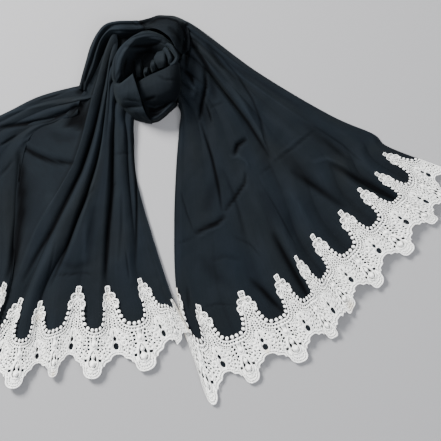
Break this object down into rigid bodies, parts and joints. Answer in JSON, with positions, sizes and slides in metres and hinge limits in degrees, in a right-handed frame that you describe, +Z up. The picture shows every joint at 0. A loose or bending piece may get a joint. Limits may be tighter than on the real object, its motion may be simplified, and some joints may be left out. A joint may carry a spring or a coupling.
{
  "type": "chiffon stole hijab laid flat in a loose knot",
  "caption": "Black chiffon head scarf laid flat, wound into a loose knot with two pleated fans, its short ends edged in off-white crochet lace.",
  "frame": {"origin": "on the surface the scarf lies on, under the middle of its outline", "axes": "+X from the left fan to the right fan, +Y from the lace hems to the knot, +Z up from the surface"},
  "size_m": [0.9386, 0.6226, 0.0583],
  "materials": {
    "black_chiffon": "matt crepe chiffon with a faint blue-green sheen on the folds",
    "offwhite_lace": "matt off-white crocheted cotton cord"
  },
  "bodies": {
    "root": {"left_fan": "black_chiffon", "left_wing": "black_chiffon", "right_fan": "black_chiffon", "neck_wrap": "black_chiffon", "shoulder_turn": "black_chiffon", "ring_turn": "black_chiffon", "lower_turn": "black_chiffon", "front_turn": "black_chiffon", "hollow_pleat_1": "black_chiffon", "hollow_pleat_2": "black_chiffon", "hollow_pleat_3": "black_chiffon", "hollow_pleat_4": "black_chiffon", "hollow_pleat_5": "black_chiffon", "hollow_pleat_6": "black_chiffon", "knot_core": "black_chiffon", "lace_left_fan": "offwhite_lace", "lace_left_wing": "offwhite_lace", "lace_right_fan": "offwhite_lace"}
  },
  "joints": []
}
